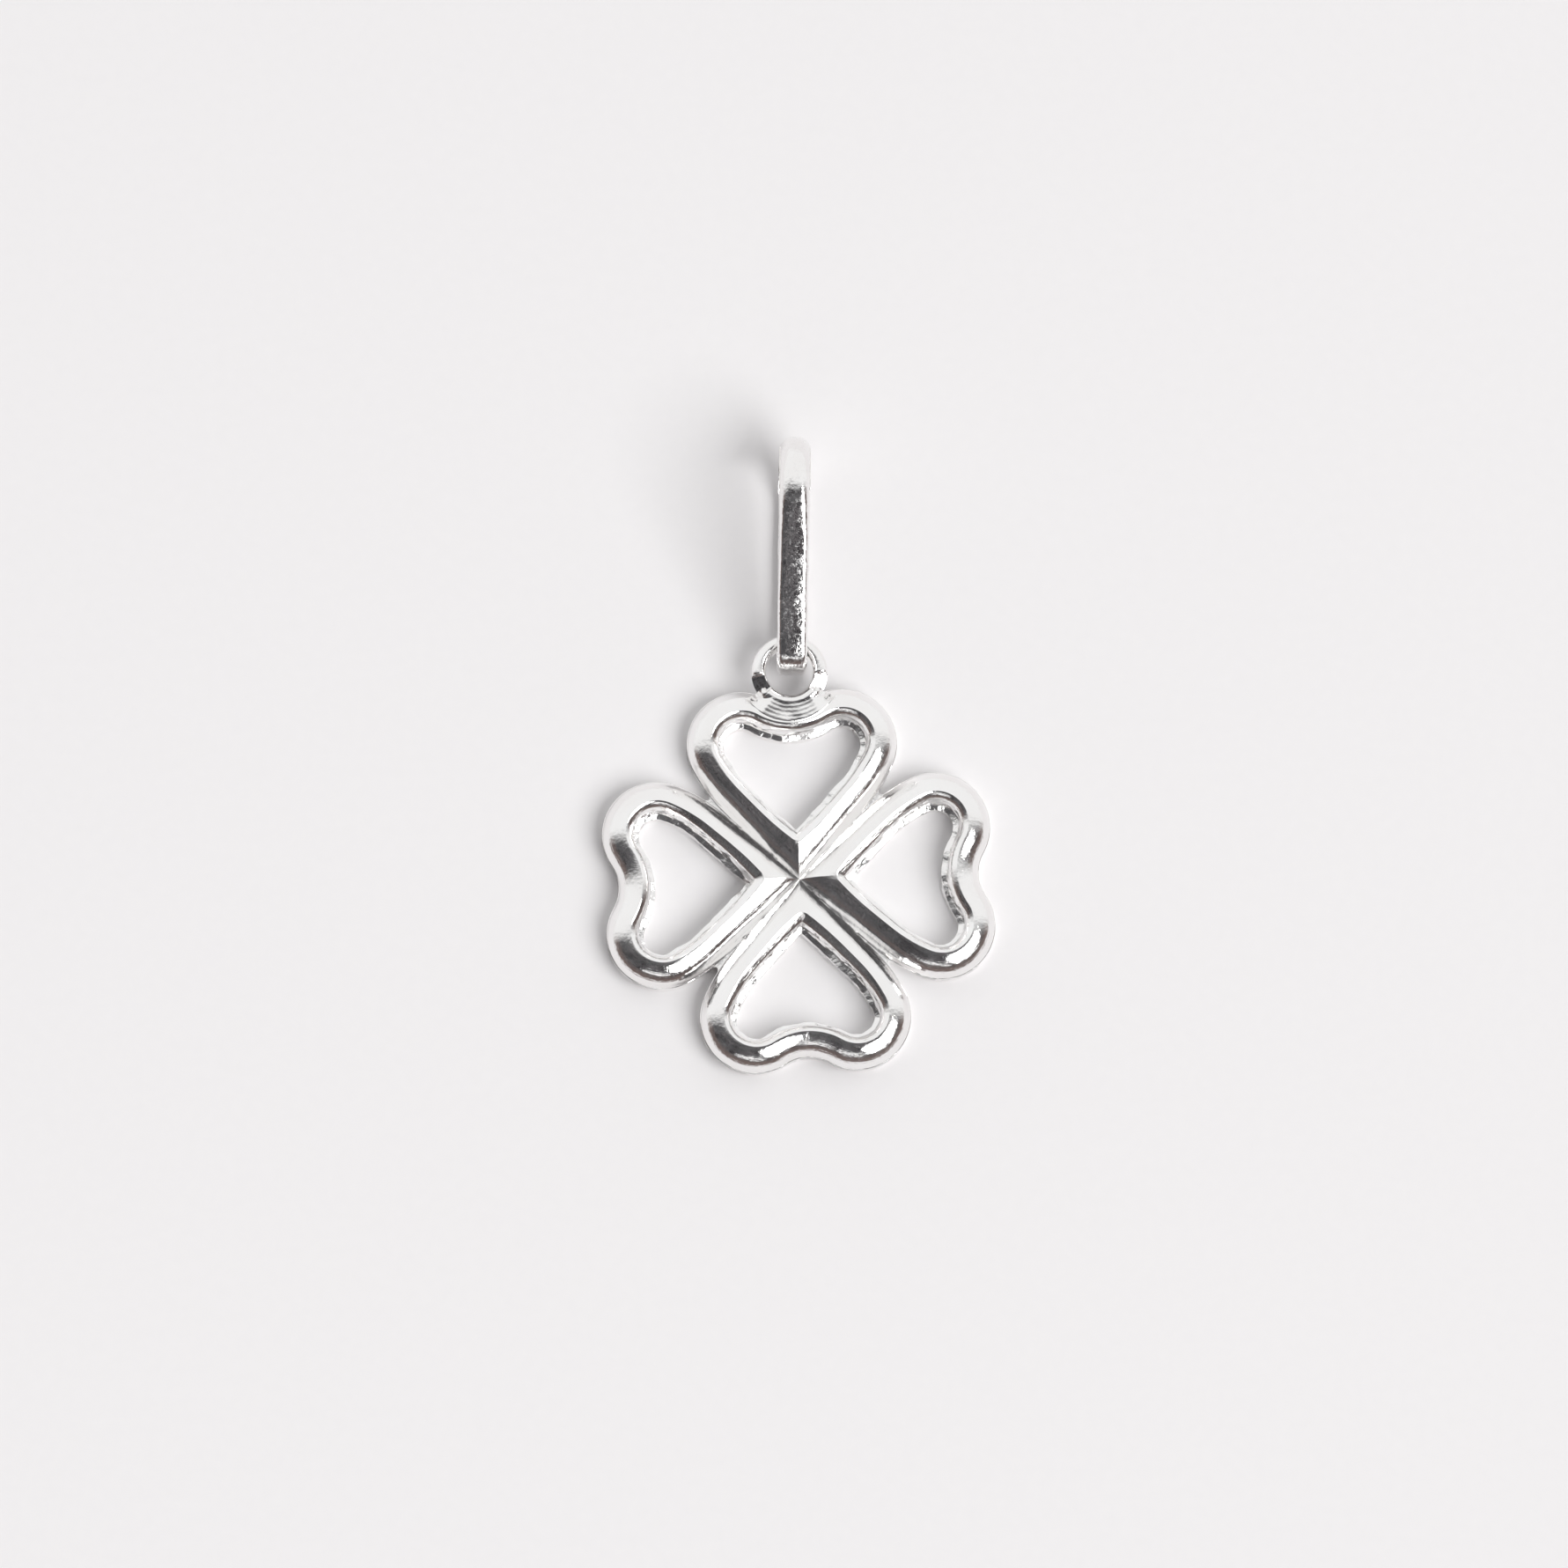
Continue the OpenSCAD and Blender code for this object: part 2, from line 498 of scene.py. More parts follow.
@dataclass(frozen=True)
class TipRow:
    """Row of the fan round the heart's tip, where the outer walls meet in a sharp corner."""

    middle: Vector
    degrees: float
    off_limb: float
    crest_in: float
    crest_r: float
    ease: float
    roundness: float = 0.0
    tipness: float = 1.0

    def point(self, inward: float) -> Vector:
        """Places a point of the row.

        Args:
            inward: Distance inwards from the outer wall, negative beyond it.

        Returns:
            The point in the plane.
        """
        beyond = self.crest_in - inward
        round_r = self.crest_r + beyond
        if beyond <= 0.0:
            return self.middle + polar(round_r, self.degrees)
        sharp_r = round_r / math.cos(math.radians(self.off_limb))
        eased = smooth_step(beyond, 0.0, self.ease)
        return self.middle + polar(round_r + (sharp_r - round_r) * eased, self.degrees)


@dataclass
class HeartRim:
    """Half of one heart's rim, from the heart's axis to the middle of the web beside it."""

    reach: float = 6.24
    lobe_r: float = 1.77
    dip_r: float = 1.33
    crest_reach: float = 0.84
    limb_angle: float = 41.4
    shoulder_turn: float = 16.4
    shoulder_reach: float = 3.84
    rim_w: float = 1.2
    rim_h: float = 1.15
    crest_in: float = 0.74
    inner_bevel_w: float = 0.25
    tip_bevel_w: float = 0.31
    tip_crest_in: float = 0.86
    tip_rim_w: float = 1.33
    tip_crest_r: float = 0.3
    tip_ease: float = 0.25
    tip_bevel_from: float = 0.5
    crest_drift: float = 3.0
    web_h: float = 0.5
    web_reach: float = 3.7
    web_fade: float = 0.3
    web_w: float = 0.5
    web_step: float = 0.02
    wall_fall: float = 6.0
    round_past: float = 0.2
    spacing: float = 0.05
    fan: int = 24
    outer_cuts: int = 24
    inner_cuts: int = 8
    wall_cuts: int = 17
    fine_cuts: int = 4
    tip_outer: Curve = (
        (0.0, 6.0), (0.06, 24.0), (0.37, 25.0), (0.44, 35.0), (0.6, 39.0),
        (0.74, 48.0), (0.82, 57.0), (0.88, 46.0), (1.0, 66.0),
    )
    flat_outer: Curve = (
        (0.0, 6.0), (0.06, 24.0), (0.33, 25.0), (0.39, 35.0), (0.54, 39.0),
        (0.66, 49.0), (0.75, 58.0), (0.83, 47.0), (1.0, 70.0),
    )
    round_outer: Curve = (
        (0.0, 5.0), (0.2, 20.0), (0.4, 28.0), (0.48, 32.0), (0.55, 36.0),
        (0.68, 44.0), (0.8, 52.0), (0.88, 60.0), (1.0, 76.0),
    )
    wall_lean: Curve = ((0.0, 0.0), (0.353, 0.08), (0.412, 0.84), (1.0, 1.0))
    flat_inner: Curve = ((0.0, 8.0), (0.1, 33.0), (0.85, 36.0), (1.0, 70.0))
    round_inner: Curve = ((0.0, 8.0), (0.2, 34.0), (0.7, 44.0), (1.0, 72.0))

    def __post_init__(self) -> None:
        """Works out the middles of the arcs, and where one arc gives way to the next."""
        lobe_y = self.reach - self.lobe_r
        limb = math.radians(self.limb_angle)
        give = self.shoulder_reach * (1.0 - math.cos(math.radians(self.shoulder_turn)))
        outwards = (lobe_y - self.crest_reach) * math.sin(limb) + self.crest_in - self.lobe_r - give
        lobe_x = outwards / math.cos(limb)
        self.lobe_c = Vector((lobe_x, lobe_y))
        between = self.lobe_r + self.dip_r
        self.dip_turn = math.degrees(math.acos(lobe_x / between))
        self.dip_c = Vector((0.0, lobe_y + between * math.sin(math.radians(self.dip_turn))))
        self.shoulder_start = self.limb_angle - self.shoulder_turn
        self.shoulder_c = self.lobe_c - polar(self.shoulder_reach, -self.shoulder_start)
        self.shoulder_r = self.lobe_r + self.shoulder_reach
        wall_reach = self.crest_reach - self.crest_in / math.sin(limb)
        corner = wall_reach + (self.tip_crest_in + self.tip_crest_r) / math.sin(limb)
        self.tip_c = Vector((0.0, corner))

    def _side(self, curve: Curve, width: float, count: int) -> list[tuple[float, float]]:
        """Rolls the surface away from the crest by its steepness.

        Args:
            curve: Distances from the crest, each with the surface's steepness in degrees.
            width: Distance from the crest at which the side ends.
            count: Number of pieces that the side is cut into.

        Returns:
            Points as distance from the crest, and drop below it.
        """
        points, drop, before = [], 0.0, 0.0
        for k in range(1, count + 1):
            now = width * (1.0 - math.cos(math.pi * k / count)) / 2.0
            cut = (now - before) / self.fine_cuts
            for step in range(self.fine_cuts):
                drop += cut * math.tan(math.radians(along_curve(curve, before + cut * (step + 0.5))))
            points.append((now, drop))
            before = now
        return points

    def _section(self, roundness: float, tipness: float) -> list[SectionPoint]:
        """Draws the rim's section from its inner foot over the crest to its outer foot.

        Args:
            roundness: 0 for the limbs' flat bevels, 1 for the lobes' rounded ones.
            tipness: 0 at the lobes, 1 at the heart's tip, where the flat bevel is widest.

        Returns:
            The points, with their distance inwards from the outer wall.
        """
        crest_in = self.crest_in + (self.tip_crest_in - self.crest_in) * tipness**self.crest_drift
        rim_w = self.rim_w + (self.tip_rim_w - self.rim_w) * tipness
        bevel_w = self.inner_bevel_w + (self.tip_bevel_w - self.inner_bevel_w) * tipness
        at_tip = smooth_step(tipness, self.tip_bevel_from, 1.0)
        limb = blend_curves(self.flat_outer, self.tip_outer, at_tip, 1.0)
        outer = blend_curves(limb, self.round_outer, roundness, crest_in)
        inner = blend_curves(self.flat_inner, self.round_inner, roundness, bevel_w)
        points = []
        shoulder = self._side(inner, bevel_w, self.inner_cuts)
        top_in, top_drop = shoulder[-1]
        lean = rim_w - crest_in - top_in
        for k in range(self.wall_cuts):
            share = k / self.wall_cuts
            inward = rim_w - lean * along_curve(self.wall_lean, share)
            points.append(SectionPoint(inward, (self.rim_h - top_drop) * share, Zone.CAST))
        for away, drop in reversed(shoulder):
            points.append(SectionPoint(crest_in + away, self.rim_h - drop, Zone.POLISHED))
        points.append(SectionPoint(crest_in, self.rim_h, Zone.POLISHED))
        for away, drop in self._side(outer, crest_in, self.outer_cuts):
            height = max(self.rim_h - drop, self.web_h + self.web_step)
            points.append(SectionPoint(crest_in - away, height, Zone.POLISHED))
        points.append(SectionPoint(0.0, self.web_h, Zone.POLISHED))
        return points

    def lobe_height(self, inward: float) -> float:
        """Reads the height of the lobes' outer side, and of the wall below it.

        Args:
            inward: Distance inwards from the outer wall, negative beyond it.

        Returns:
            The surface's height above the back.
        """
        outer = [(self.crest_in * share, steepness) for share, steepness in self.round_outer]
        side = [(0.0, 0.0), *self._side(outer, self.crest_in, self.outer_cuts)]
        away = min(self.crest_in, max(0.0, self.crest_in - inward))
        beyond = max(0.0, -inward)
        return max(self.rim_h - along_curve(side, away), self.web_h) - self.wall_fall * beyond

    def _rows(self) -> list[RimRow | TipRow]:
        """Lists the rows from the dip round the lobe and down the limb to the tip.

        Returns:
            The rows.
        """
        rows = []

        def arc(centre: Vector, start: float, end: float, radius: float, sign: float) -> None:
            """Adds the rows of one arc.

            Args:
                centre: Middle of the arc.
                start: Direction of the first row.
                end: Direction of the last row.
                radius: Radius of the outer wall.
                sign: 1 for an outward arc, -1 for a hollow one.
            """
            crest_r = radius - sign * self.crest_in
            count = max(2, math.ceil(abs(math.radians(end - start)) * crest_r / self.spacing))
            for k in range(count):
                out = polar(1.0, start + (end - start) * k / count)
                past_lobe = k / count if centre is self.shoulder_c else 0.0
                roundness = 1.0 - smooth_step(past_lobe, -self.round_past, 1.0)
                rows.append(RimRow(centre + out * radius, out * -sign, roundness, 0.0))

        arc(self.dip_c, -90.0, -self.dip_turn, self.dip_r, -1.0)
        arc(self.lobe_c, 180.0 - self.dip_turn, -self.shoulder_start, self.lobe_r, 1.0)
        arc(self.shoulder_c, -self.shoulder_start, -self.limb_angle, self.shoulder_r, 1.0)
        out = polar(1.0, -self.limb_angle)
        along = Vector((out.y, -out.x))
        start = self.shoulder_c + out * self.shoulder_r
        length = (self.tip_c - start).dot(along)
        count = math.ceil(length / self.spacing)
        for k in range(count):
            rows.append(RimRow(start + along * (length * k / count), -out, 0.0, k / count))
        corner = (self.tip_crest_in, self.tip_crest_r, self.tip_ease)
        for k in range(self.fan + 1):
            turn = (self.limb_angle - 90.0) * k / self.fan
            rows.append(TipRow(self.tip_c, turn - self.limb_angle, turn, *corner))
        return rows

    def grid(self) -> tuple[list[list[Vector]], list[float]]:
        """Builds the rows of points of the half heart.

        Returns:
            The rows, each a closed section, and the cast zone of each column.
        """
        grid, zones = [], []
        for row in self._rows():
            section = self._section(row.roundness, row.tipness)
            points = []
            for place in section:
                flat = row.point(place.inward)
                points.append(Vector((flat.x, flat.y, place.height)))
            foot = row.point(0.0)
            span = foot.length
            web = 0.0
            if foot.y < self.lobe_c.y and span < self.web_reach + self.web_fade:
                web = self.web_w * (1.0 - max(0.0, span - self.web_reach) / self.web_fade) ** 2
            beyond = row.point(-web)
            points.append(Vector((beyond.x, beyond.y, self.web_h)))
            points.append(Vector((beyond.x, beyond.y, 0.0)))
            points.append(Vector((foot.x, foot.y, 0.0)))
            grid.append(points)
            zones = [place.zone.value for place in section] + [Zone.POLISHED.value] * 3
        return grid, zones


@dataclass
class Clover:
    """The casting: four hearts that meet tip to tip."""

    rim: HeartRim
    finish: SilverFinish
    hearts: int = 4
    same_place: float = 0.00001
    on_plane: float = 0.00005
    seam: float = 0.0005
    back_h: float = 0.001
    brush_offset: float = 3.0
    wobble: float = 0.012
    slow_waves: float = 0.9
    quick_waves: float = 2.3
    quick_offset: tuple[float, float, float] = (7.0, 3.0, 1.0)
    quick_share: float = 0.3
    cast_wobble: float = 0.06
    cast_waves: tuple[float, float, float] = (1.9, 1.9, 6.0)
    cast_fine: float = 2.7
    cast_fine_share: float = 0.4
    grounded_h: float = 0.2
    sharp_angle: float = 32.0

    def build(self) -> bpy.types.Object:
        """Builds the four hearts as one mesh.

        Returns:
            The casting's object.
        """
        whole = bmesh.new()
        cast = whole.verts.layers.float.new("cast")
        brush = whole.verts.layers.float_vector.new("brush")
        half = self._half_heart()
        half_cast = half.verts.layers.float["cast"]
        half_brush = half.verts.layers.float_vector["brush"]
        step = 360.0 / self.hearts
        for heart in range(self.hearts):
            turn = Matrix.Rotation(math.radians(heart * step), 4, "Z")
            for side in (1.0, -1.0):
                place = turn @ Matrix.Diagonal((side, 1.0, 1.0, 1.0))
                made = {}
                for vert in half.verts:
                    copy = whole.verts.new(place @ vert.co)
                    copy[cast] = vert[half_cast]
                    copy[brush] = vert[half_brush] + UP * (self.brush_offset * heart + side)
                    made[vert.index] = copy
                for face in half.faces:
                    corners = [made[v.index] for v in face.verts]
                    whole.faces.new(corners if side > 0 else corners[::-1])
        half.free()
        bmesh.ops.remove_doubles(whole, verts=whole.verts, dist=self.seam)
        whole.normal_update()
        self._soften(whole, cast)
        return new_piece("clover_casting", whole, self.sharp_angle, self.finish.material())

    def _half_heart(self) -> bmesh.types.BMesh:
        """Builds the right half of the top heart, cut at its axis and at the web's middle.

        Returns:
            The half heart's mesh.
        """
        rows, zones = self.rim.grid()
        mesh = bmesh.new()
        cast = mesh.verts.layers.float.new("cast")
        brush = mesh.verts.layers.float_vector.new("brush")
        rings = []
        for index, row in enumerate(rows):
            ring = []
            for place, zone in zip(row, zones):
                vert = mesh.verts.new(place)
                vert[cast] = zone
                vert[brush] = Vector(((place - row[-1]).to_2d().length, index * self.rim.spacing, 0.0))
                ring.append(vert)
            rings.append(ring)
        join_rings(mesh, rings, closed=False)
        bmesh.ops.remove_doubles(mesh, verts=mesh.verts, dist=self.same_place)
        for normal in (Vector((-1.0, 0.0, 0.0)), Vector((1.0, -1.0, 0.0)).normalized()):
            geometry = mesh.verts[:] + mesh.edges[:] + mesh.faces[:]
            bmesh.ops.bisect_plane(
                mesh,
                geom=geometry,
                dist=self.on_plane,
                plane_co=(0.0, 0.0, 0.0),
                plane_no=normal,
                clear_outer=True,
            )
        mesh.verts.index_update()
        return mesh

    def _soften(self, mesh: bmesh.types.BMesh, cast: bmesh.types.BMLayerItem) -> None:
        """Gives the casting the slight unevenness of hand finishing, and keeps its back flat.

        Args:
            mesh: The whole casting.
            cast: The layer of the cast skin.
        """
        moves = []
        for vert in mesh.verts:
            slow = noise.noise(vert.co * self.slow_waves)
            quick = noise.noise(vert.co * self.quick_waves + Vector(self.quick_offset))
            skin = vert.co * Vector(self.cast_waves)
            rough = noise.noise(skin) + self.cast_fine_share * noise.noise(skin * self.cast_fine)
            shift = self.wobble * (slow + self.quick_share * quick) + self.cast_wobble * vert[cast] * rough
            grounded = smooth_step(vert.co.z, 0.0, self.grounded_h)
            moves.append(vert.normal * (shift * grounded - self.wobble))
        for vert, move in zip(mesh.verts, moves):
            if vert.co.z < self.back_h:
                move.z = 0.0
            vert.co += move


@dataclass
class Eye:
    """Ring of wire in the top heart's dip, filed flat on both shoulders."""

    finish: SilverFinish
    hole_d: float = 1.5
    wire_d: float = 0.48
    middle_y: float = 6.733
    middle_z: float = 0.952
    turns: int = 180
    rounds: int = 48
    wobble: float = 0.015
    wobble_waves: float = 2.0
    filed_from: float = 3.0
    filed_to: float = 37.0
    filed_facing: float = 32.0
    filed_tilt: float = 27.0
    filed_h: float = 0.17
    sharp_angle: float = 60.0

    def __post_init__(self) -> None:
        """Works out the radii of the ring and of its wire, and the ring's middle."""
        self.wire_r = self.wire_d / 2.0
        self.ring_r = (self.hole_d + self.wire_d) / 2.0
        self.middle = Vector((0.0, self.middle_y, self.middle_z))

    def build(self) -> bpy.types.Object:
        """Builds the ring.

        Returns:
            The ring's object.
        """
        mesh = bmesh.new()
        flat_out = polar(1.0, -self.filed_facing)
        slope = math.tan(math.radians(self.filed_tilt))
        rings = []
        for turn in range(self.turns):
            angle = 2.0 * math.pi * turn / self.turns
            out = Vector((math.cos(angle), math.sin(angle), 0.0))
            below = -math.degrees(math.asin(out.y))
            filed = smooth_step(below, self.filed_from, 2.0 * self.filed_from)
            filed *= 1.0 - smooth_step(below, self.filed_to, self.filed_to + 2.0 * self.filed_from)
            ring = []
            for step in range(self.rounds):
                around = 2.0 * math.pi * step / self.rounds
                wire_r = self.wire_r * (1.0 + self.wobble * (noise.noise(out * self.wobble_waves) - 1.0))
                aside, height = wire_r * math.cos(around), wire_r * math.sin(around)
                place = out * (self.ring_r + aside)
                facing = abs(place.x) * flat_out.x + place.y * flat_out.y
                cut = self.filed_h - slope * (facing - self.hole_d / 2.0)
                height += filed * min(0.0, cut - height)
                ring.append(mesh.verts.new(self.middle + place + UP * height))
            rings.append(ring)
        join_rings(mesh, rings, closed=True)
        return new_piece("eye_ring", mesh, self.sharp_angle, self.finish.material())


@dataclass
class Solder:
    """Solder that fills the corner between the eye's ring and the top heart's dip."""

    rim: HeartRim
    eye: Eye
    finish: SilverFinish
    half_turn: float = 60.0
    inner_r: float = 1.02
    outer_r: float = 1.62
    blend: float = 0.03
    sunk: float = 0.012
    level: float = 1.198
    fall: float = 0.05
    droop: float = 0.3
    droop_from: float = 34.0
    ripple: float = 0.0014
    ripple_step: float = 0.14
    lump: float = 0.02
    lump_waves: float = 2.2
    end_from: float = 0.8
    end_drop: float = 0.08
    depth: float = 0.25
    turns: int = 64
    rings: int = 40
    sharp_angle: float = 60.0

    def _height(self, out_r: float, degrees: float) -> float:
        """Finds the height of the solder's surface.

        Args:
            out_r: Distance from the eye's middle.
            degrees: Direction from the eye's middle.

        Returns:
            The height above the back.
        """
        wire_r = self.eye.wire_r
        off_wire = min(wire_r, abs(out_r - self.eye.ring_r))
        wire = self.eye.middle_z + math.sqrt(wire_r * wire_r - off_wire * off_wire)
        wire -= self.rim.wall_fall * max(0.0, out_r - self.eye.ring_r - wire_r)
        place = self.eye.middle.to_2d() + polar(out_r, degrees)
        heart = self.rim.lobe_height((place - self.rim.dip_c).length - self.rim.dip_r)
        sideways = smooth_step(abs(degrees + 90.0), self.droop_from, self.half_turn)
        wave = self.ripple * math.sin(2.0 * math.pi * out_r / self.ripple_step)
        lump = self.lump * noise.noise(place.to_3d() * self.lump_waves)
        level = self.level - self.fall * (out_r - self.inner_r) - self.droop * sideways + wave + lump
        under = max(wire, heart)
        fill = max(0.0, self.blend - abs(under - level)) ** 2 / (4.0 * self.blend)
        return max(under, level) + fill - self.sunk

    def build(self) -> bpy.types.Object:
        """Builds the solder.

        Returns:
            The solder's object.
        """
        mesh = bmesh.new()
        slices = []
        for turn in range(self.turns + 1):
            degrees = -90.0 + self.half_turn * (2.0 * turn / self.turns - 1.0)
            end = smooth_step(abs(degrees + 90.0), self.end_from * self.half_turn, self.half_turn)
            above, below = [], []
            for ring in range(self.rings + 1):
                out_r = self.inner_r + (self.outer_r - self.inner_r) * ring / self.rings
                height = self._height(out_r, degrees) - self.end_drop * end
                place = self.eye.middle.to_2d() + polar(out_r, degrees)
                above.append(mesh.verts.new((place.x, place.y, height)))
                below.append(mesh.verts.new((place.x, place.y, height - self.depth)))
            slices.append(above + below[::-1])
        join_rings(mesh, slices, closed=False)
        mesh.faces.new(slices[0])
        mesh.faces.new(slices[-1][::-1])
        return new_piece("eye_solder", mesh, self.sharp_angle, self.finish.material())


@dataclass
class Bail:
    """Drop-shaped loop of flattened wire through the eye."""

    finish: SilverFinish
    length: float = 7.6
    near_r: float = 0.92
    far_r: float = 1.9
    wire_t: float = 0.58
    wire_w: float = 1.0
    round_r: float = 0.62
    face_r: float = 4.0
    face_w: float = 0.66
    far_face_r: float = 1.6
    far_face_w: float = 0.3
    face_fade: float = 1.6
    face_cuts: int = 5
    edge_cuts: int = 14
    inner_cuts: int = 14
    edge: Curve = (
        (0.0, 5.0), (0.2, 20.0), (0.5, 36.0), (0.62, 47.0), (0.76, 50.0), (0.86, 60.0), (1.0, 80.0),
    )
    wobble: float = 0.018
    slow_waves: float = 0.8
    slow_offset: tuple[float, float, float] = (5.0, 0.0, 2.0)
    quick_wobble: float = 0.012
    quick_waves: float = 2.1
    inset: float = 0.016
    turn: float = 3.5
    lean: float = 3.0
    slack: float = 0.16
    pivot: tuple[float, float, float] = (0.14, 7.723, 0.9521)
    spacing: float = 0.07
    sharp_angle: float = 45.0

    def __post_init__(self) -> None:
        """Works out the distance between the two ends' middles, and how the sides spread."""
        rise = self.far_r - self.near_r
        self.run = self.length - self.near_r - self.far_r
        self.span = math.hypot(self.run, rise)
        self.spread = math.degrees(math.asin(rise / self.span))

    def _section(self, roundness: float) -> list[tuple[float, float]]:
        """Draws the wire's section: a flat outer face with rounded edges, and a rounded inner face.

        Args:
            roundness: 0 where the outer face is flattest, 1 at the far end, where it is worn round.

        Returns:
            Points as distance outwards from the wire's middle, and sideways.
        """
        half_t, half_w = self.wire_t / 2.0, self.wire_w / 2.0
        deep = self.round_r - half_t
        reach = math.asin(min(1.0, half_w / self.round_r))
        half_face = (self.face_w + (self.far_face_w - self.face_w) * roundness) / 2.0
        face_r = self.face_r + (self.far_face_r - self.face_r) * roundness
        face = [half_face * k / self.face_cuts for k in range(-self.face_cuts, self.face_cuts + 1)]
        outward = half_t - half_face * half_face / (2.0 * face_r)
        width = (half_w - half_face) / self.edge_cuts
        edge = []
        for k in range(self.edge_cuts):
            steepness = along_curve(self.edge, (k + 0.5) / self.edge_cuts)
            outward -= width * math.tan(math.radians(steepness))
            edge.append((outward, half_face + width * (k + 1)))
        points = [(outward, -sideways) for outward, sideways in reversed(edge)]
        points += [(half_t - aside * aside / (2.0 * face_r), aside) for aside in face]
        points += edge
        for k in range(-self.inner_cuts, self.inner_cuts + 1):
            angle = reach * k / self.inner_cuts
            points.append((deep - self.round_r * math.cos(angle), -self.round_r * math.sin(angle)))
        return points

    def _path(self) -> list[tuple[Vector, Vector]]:
        """Lists the loop's stations in its own plane.

        Returns:
            For each station, the wire's middle and the direction out of the loop.
        """
        half_t = self.wire_t / 2.0
        stations = []

        def arc(centre: Vector, start: float, end: float, radius: float) -> None:
            """Adds the stations of one end of the loop.

            Args:
                centre: Middle of the end's arc.
                start: Direction of the first station.
                end: Direction of the last station.
                radius: Radius of the wire's middle.
            """
            count = math.ceil(abs(math.radians(end - start)) * radius / self.spacing)
            for k in range(count):
                out = polar(1.0, start + (end - start) * k / count)
                stations.append((centre + out * radius, out))

        def side(start: Vector, end: Vector, out: Vector) -> None:
            """Adds the stations of one straight side.

            Args:
                start: First point of the wire's middle.
                end: Last point of the wire's middle.
                out: Direction out of the loop.
            """
            count = math.ceil((end - start).length / self.spacing)
            for k in range(count):
                stations.append((start.lerp(end, k / count), out))

        near, far = Vector((0.0, 0.0)), Vector((self.span, 0.0))
        near_r, far_r = self.near_r - half_t, self.far_r - half_t
        past = 90.0 + self.spread
        low, high = polar(1.0, -past), polar(1.0, past)
        arc(near, past, 360.0 - past, near_r)
        side(near + low * near_r, far + low * far_r, low)
        arc(far, -past, past, far_r)
        side(far + high * far_r, near + high * near_r, high)
        return stations

    def build(self) -> bpy.types.Object:
        """Builds the loop where it lies.

        Returns:
            The loop's object.
        """
        lie = (
            Matrix.Translation(self.pivot)
            @ Matrix.Rotation(math.radians(-self.turn), 4, "Z")
            @ Matrix.Rotation(math.radians(-self.lean), 4, "Y")
            @ Matrix.Rotation(math.radians(90.0), 4, "Z")
            @ Matrix.Rotation(math.radians(90.0), 4, "X")
            @ Matrix.Rotation(math.radians(self.spread), 4, "Z")
            @ Matrix.Translation((-self.slack, 0.0, 0.0))
        )
        mesh = bmesh.new()
        rings = []
        for middle, out in self._path():
            ring = []
            roundness = smooth_step(middle.x, self.run - self.face_fade, self.run + self.far_r / 2.0)
            for outward, sideways in self._section(roundness):
                flat = middle + out * outward
                ring.append(mesh.verts.new(lie @ Vector((flat.x, flat.y, sideways))))
            rings.append(ring)
        join_rings(mesh, rings, closed=True)
        mesh.normal_update()
        moves = []
        for vert in mesh.verts:
            slow = noise.noise(vert.co * self.slow_waves + Vector(self.slow_offset))
            quick = noise.noise(vert.co * self.quick_waves)
            moves.append(vert.normal * (self.wobble * slow + self.quick_wobble * quick - self.inset))
        for vert, move in zip(mesh.verts, moves):
            vert.co += move
        return new_piece("bail_loop", mesh, self.sharp_angle, self.finish.material())


@dataclass(frozen=True)
class SoftLight:
    """Soft light that hangs over the card and faces the pendant."""

    name: str
    power: float
    width: float
    height: float
    azimuth: float
    tilt: float
    distance: float = 3.0

    def build(self) -> None:
        """Hangs the light."""
        light = bpy.data.lights.new(self.name, "AREA")
        light.shape = "ELLIPSE"
        light.size = self.width
        light.size_y = self.height
        light.energy = self.power
        lamp = bpy.data.objects.new(self.name, light)
        towards = polar(math.sin(math.radians(self.tilt)), self.azimuth).to_3d()
        towards.z = math.cos(math.radians(self.tilt))
        lamp.location = towards * self.distance
        lamp.rotation_euler = towards.to_track_quat("Z", "Y").to_euler()
        bpy.context.scene.collection.objects.link(lamp)


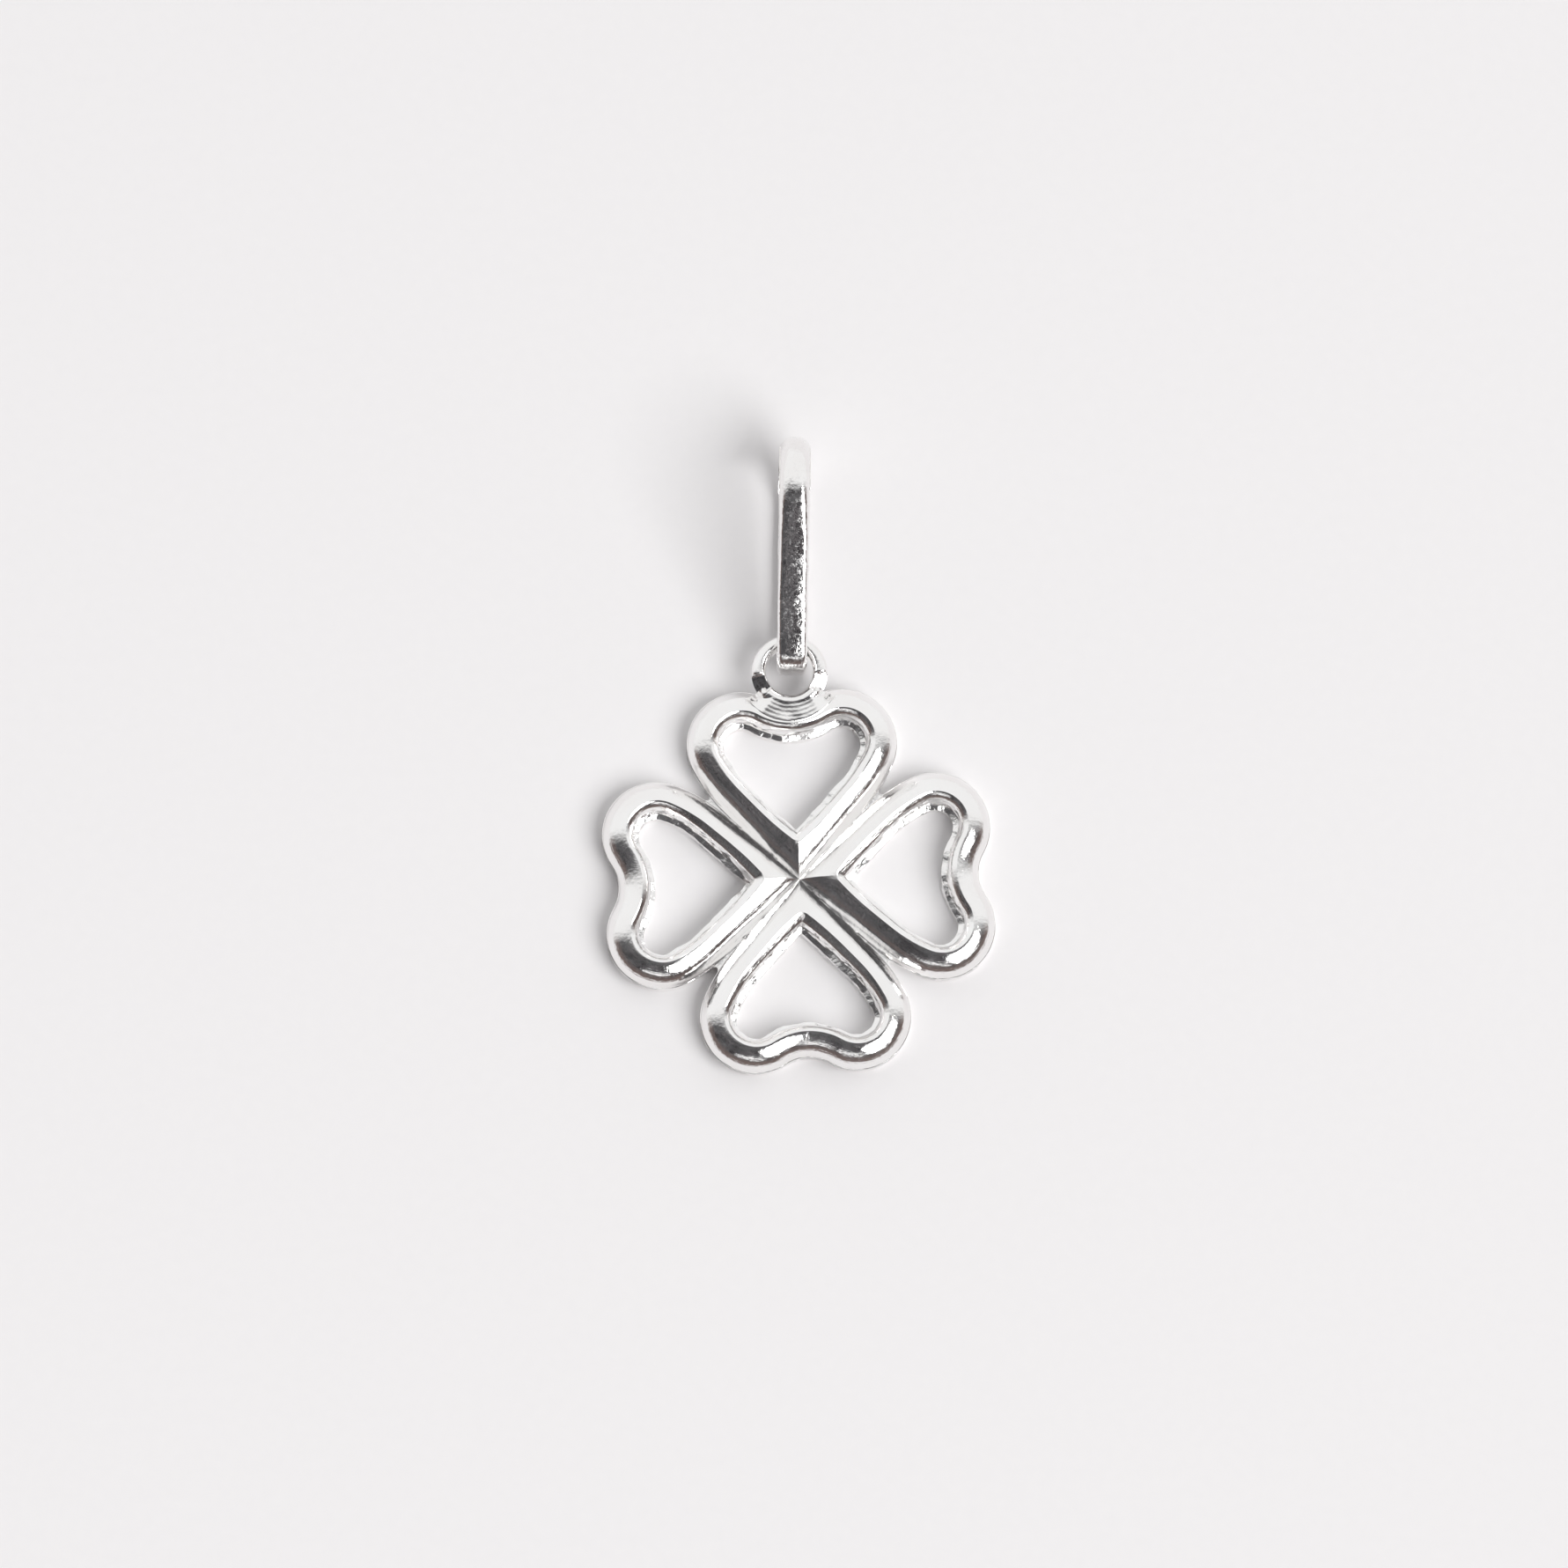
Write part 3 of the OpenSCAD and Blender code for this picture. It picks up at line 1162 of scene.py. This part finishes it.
@dataclass
class Studio:
    """Pale card, a large soft box, a weak strip light in front and a light wall behind the pendant."""

    floor_half: float = 12.0
    wall_light: float = 0.92
    wall_span: tuple[float, float] = (-0.06, 0.3)
    patches: tuple[tuple[float, Colour], ...] = (
        (0.42, (0.016, 0.016, 0.018)), (0.5, (0.062, 0.046, 0.05)), (0.55, (0.1, 0.124, 0.126)),
        (0.63, (0.31, 0.28, 0.29)),
    )
    patch_noise: tuple[float, float] = (15.0, 4.0)
    low_band: Colour = (0.17, 0.13, 0.12)
    low_span: tuple[float, float] = (0.5, 0.15)
    backdrop: float = 0.8
    lights: tuple[SoftLight, ...] = (
        SoftLight("soft_box", power=78.0, width=2.9, height=2.05, azimuth=-36.0, tilt=42.0),
        SoftLight("front_strip", power=3.2, width=2.3, height=0.55, azimuth=-98.0, tilt=57.0),
    )

    def build(self) -> None:
        """Makes the floor, the lights and the surroundings."""
        self._floor()
        for light in self.lights:
            light.build()
        self._surroundings()

    def _floor(self) -> None:
        """Lays the card on which the pendant lies."""
        mesh = bmesh.new()
        half = self.floor_half
        corners = ((-half, -half), (half, -half), (half, half), (-half, half))
        mesh.faces.new([mesh.verts.new((x, y, 0.0)) for x, y in corners])
        data = bpy.data.meshes.new("card")
        mesh.to_mesh(data)
        mesh.free()
        floor = bpy.data.objects.new("card", data)
        bpy.context.scene.collection.objects.link(floor)
        floor.data.materials.append(PaperFinish().material())

    def _surroundings(self) -> None:
        """Gives the sky a light half behind the pendant and a dark half in front of it."""
        world = bpy.data.worlds.new("studio")
        bpy.context.scene.world = world
        world.use_nodes = True
        table = NodeTable(world.node_tree)
        place = table.add("ShaderNodeTexCoord").outputs["Generated"]
        split = table.add("ShaderNodeSeparateXYZ")
        table.link(place, split.inputs["Vector"])
        patches = table.tint(table.noise(place, *self.patch_noise), self.patches)
        wall = table.spread(split.outputs["Y"], self.wall_span, 0.0, 1.0)
        wall.interpolation_type = "SMOOTHSTEP"
        low = table.spread(split.outputs["Z"], self.low_span, 0.0, 1.0)
        front = table.mix(low.outputs["Result"], patches, self.low_band)
        around = table.mix(wall.outputs["Result"], front, (self.wall_light,) * 3)
        seen = table.add("ShaderNodeLightPath")
        sky = table.mix(seen.outputs["Is Camera Ray"], around, (self.backdrop,) * 3)
        table.link(sky, world.node_tree.nodes["Background"].inputs["Color"])


@dataclass
class PhotoView:
    """Camera above the pendant, a little to its front left."""

    photo_px: int = 1781
    px_mm: float = 35.52
    middle_px: tuple[float, float] = (908.0, 997.7)
    middle_h: float = 0.83
    south: float = 12.5
    west: float = 3.8
    turned: float = 2.0
    distance: float = 450.0
    sensor: float = 36.0
    clip: tuple[float, float] = (0.01, 100.0)

    def build(self) -> None:
        """Makes the camera that frames the pendant as the photograph does."""
        west, south = math.tan(math.radians(self.west)), math.tan(math.radians(self.south))
        back = Vector((-west, -south, 1.0)).normalized()
        right = (Vector((1.0, 0.0, 0.0)) - back * back.x).normalized()
        upward = back.cross(right)
        unturn = Matrix.Rotation(math.radians(-self.turned), 3, "Z")
        back, right, upward = unturn @ back, unturn @ right, unturn @ upward
        half = self.photo_px / 2.0
        aside = (half - self.middle_px[0]) / self.px_mm
        above = (self.middle_px[1] - half) / self.px_mm
        target = UP * self.middle_h + right * aside + upward * above
        data = bpy.data.cameras.new("photo_view")
        data.sensor_width = self.sensor
        data.lens = self.sensor * self.distance / (self.photo_px / self.px_mm)
        data.clip_start, data.clip_end = self.clip
        camera = bpy.data.objects.new("photo_view", data)
        turn = Matrix((right, upward, back)).transposed().to_4x4()
        camera.matrix_world = Matrix.Translation((target + back * self.distance) * MM) @ turn
        bpy.context.scene.collection.objects.link(camera)
        bpy.context.scene.camera = camera


def main() -> None:
    """Builds the pendant, its studio and the camera."""
    PhotoView().build()
    Studio().build()
    bpy.context.scene.view_settings.view_transform = "Standard"
    silver = SilverFinish("clover_silver")
    clover = Clover(HeartRim(), silver).build()
    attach(clover, "clover")
    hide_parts("clover")
    log.info("casting: %d faces", len(clover.data.polygons))
    ring = Eye(silver)
    eye = ring.build()
    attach(eye, "clover")
    log.info("eye: %d faces", len(eye.data.polygons))
    solder = Solder(HeartRim(), ring, silver).build()
    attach(solder, "clover")
    log.info("solder: %d faces", len(solder.data.polygons))
    bail = Bail(SilverFinish("bail_silver", wave_relief=0.4, dapple_relief=1.2, speckle=0.19)).build()
    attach(bail, "bail")
    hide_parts("bail")
    log.info("bail: %d faces", len(bail.data.polygons))


if __name__ == "__main__":
    main()
